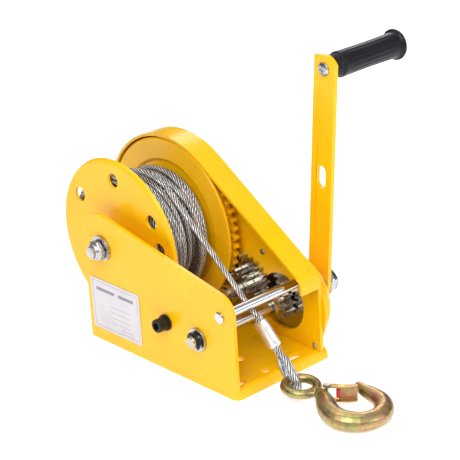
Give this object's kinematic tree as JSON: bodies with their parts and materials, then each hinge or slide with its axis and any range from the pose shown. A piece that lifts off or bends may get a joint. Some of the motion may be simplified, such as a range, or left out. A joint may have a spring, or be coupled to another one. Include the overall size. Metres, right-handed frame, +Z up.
{
  "type": "trailer hand winch",
  "caption": "Geared hand winch with a wire rope drum between side plates, load brake, crank with a turning grip, guide rod and latched eye hook.",
  "frame": {"origin": "on the floor the base stands on, below the middle of the winch's bounding box measured without the rope lead, hook and latch", "axes": "+X along the drum from the plain side plate towards the gear housing and the crank, -Y the front where the rope leaves, +Z up"},
  "size_m": [0.285, 0.431, 0.3031],
  "materials": {
    "yellow_paint": "glossy powder coat",
    "steel": "machined, lightly oiled",
    "polished_steel": "polished",
    "zinc": "bright zinc plate",
    "blue_zinc": "blue zinc plate",
    "yellow_zinc": "yellow chromated zinc plate",
    "black_oxide": "black oxide",
    "black_plastic": "moulded",
    "black_rubber": "satin",
    "bronze": "plain bearing bronze",
    "brake_lining": "dry friction lining",
    "aluminium": "pressed, satin",
    "wire_rope": "galvanised strands",
    "label_film": "satin film"
  },
  "bodies": {
    "frame": {"frame_sheet": "yellow_paint", "right_housing": "yellow_paint", "guide_rod": "polished_steel", "drum_bolt": "zinc", "drum_nut": "zinc", "drum_washer": "zinc", "drum_spacer_left": "zinc", "drum_spacer_right": "zinc", "mid_boss": "black_oxide", "mid_axle": "steel", "brake_cover": "yellow_paint", "cover_rivet_1": "zinc", "cover_rivet_2": "zinc", "cover_rivet_3": "zinc", "foot_rivet_1": "zinc", "foot_rivet_2": "zinc", "pawl_pin": "steel", "pawl_spring": "zinc", "label": "label_film", "rope_lead": "wire_rope", "rope_eye": "wire_rope", "ferrule": "aluminium", "thimble": "blue_zinc"},
    "drum": {"drum_flange_left": "yellow_paint", "drum_flange_right": "yellow_paint", "drum_core": "yellow_paint", "drum_gear": "yellow_paint", "drum_bush": "bronze", "rope_pack": "wire_rope", "rope_clamp": "zinc"},
    "countershaft": {"mid_gear": "steel", "mid_pinion": "steel", "mid_collar": "steel", "mid_spacer": "steel"},
    "input": {"input_shaft": "steel", "input_pinion": "steel", "input_collar": "steel", "input_clip": "black_oxide", "input_washer": "zinc", "brake_disc": "steel"},
    "ratchet": {"ratchet_wheel": "steel", "lining_inner": "brake_lining", "lining_outer": "brake_lining"},
    "pawl": {"pawl": "steel"},
    "crank": {"crank_hub": "steel", "crank_arm": "yellow_paint", "crank_washer": "zinc", "crank_nut": "blue_zinc", "handle_bolt": "zinc", "handle_nut": "zinc"},
    "grip": {"grip": "black_rubber", "grip_sleeve": "black_plastic"},
    "hook": {"hook": "yellow_zinc", "latch_pin": "zinc"},
    "latch": {"latch": "yellow_zinc"}
  },
  "joints": [
    {"name": "drum_spin", "type": "hinge", "parent": "frame", "child": "drum", "pos_m": [-0.0645, 0.04904, 0.1075], "axis": [1, 0, 0], "continuous": true},
    {"name": "countershaft_spin", "type": "hinge", "parent": "frame", "child": "countershaft", "pos_m": [-0.0645, -0.04509, 0.05456], "axis": [1, 0, 0], "continuous": true},
    {"name": "input_spin", "type": "hinge", "parent": "frame", "child": "input", "pos_m": [-0.0645, -0.09246, 0.051], "axis": [1, 0, 0], "continuous": true},
    {"name": "crank_release", "type": "hinge", "parent": "input", "child": "crank", "pos_m": [-0.0645, -0.09246, 0.051], "axis": [1, 0, 0], "range_deg": [-25, 0]},
    {"name": "grip_spin", "type": "hinge", "parent": "crank", "child": "grip", "pos_m": [0.0955, -0.11312, 0.2871], "axis": [1, 0, 0], "continuous": true},
    {"name": "ratchet_spin", "type": "hinge", "parent": "frame", "child": "ratchet", "pos_m": [0, -0.09246, 0.051], "axis": [1, 0, 0], "continuous": true},
    {"name": "pawl_lift", "type": "hinge", "parent": "frame", "child": "pawl", "pos_m": [0, -0.06076, 0.0693], "axis": [1, 0, 0], "range_deg": [-14, 0], "stiffness_Nm_per_rad": 0.05, "springref_deg": 20.05},
    {"name": "hook_swing", "type": "hinge", "parent": "frame", "child": "hook", "pos_m": [-0.0845, -0.17116, 0.0157], "axis": [1, 0, 0], "range_deg": [-50, 0]},
    {"name": "latch_swing", "type": "hinge", "parent": "hook", "child": "latch", "pos_m": [-0.07308, -0.21199, 0.01311], "axis": [0.0094, -0.0607, 0.9981], "range_deg": [-35, 0], "stiffness_Nm_per_rad": 0.04, "springref_deg": 25.78}
  ],
  "couplings": [
    {"joint": "countershaft_spin", "follows": "drum_spin", "ratio": -4.5385},
    {"joint": "input_spin", "follows": "drum_spin", "ratio": 9.8333}
  ]
}
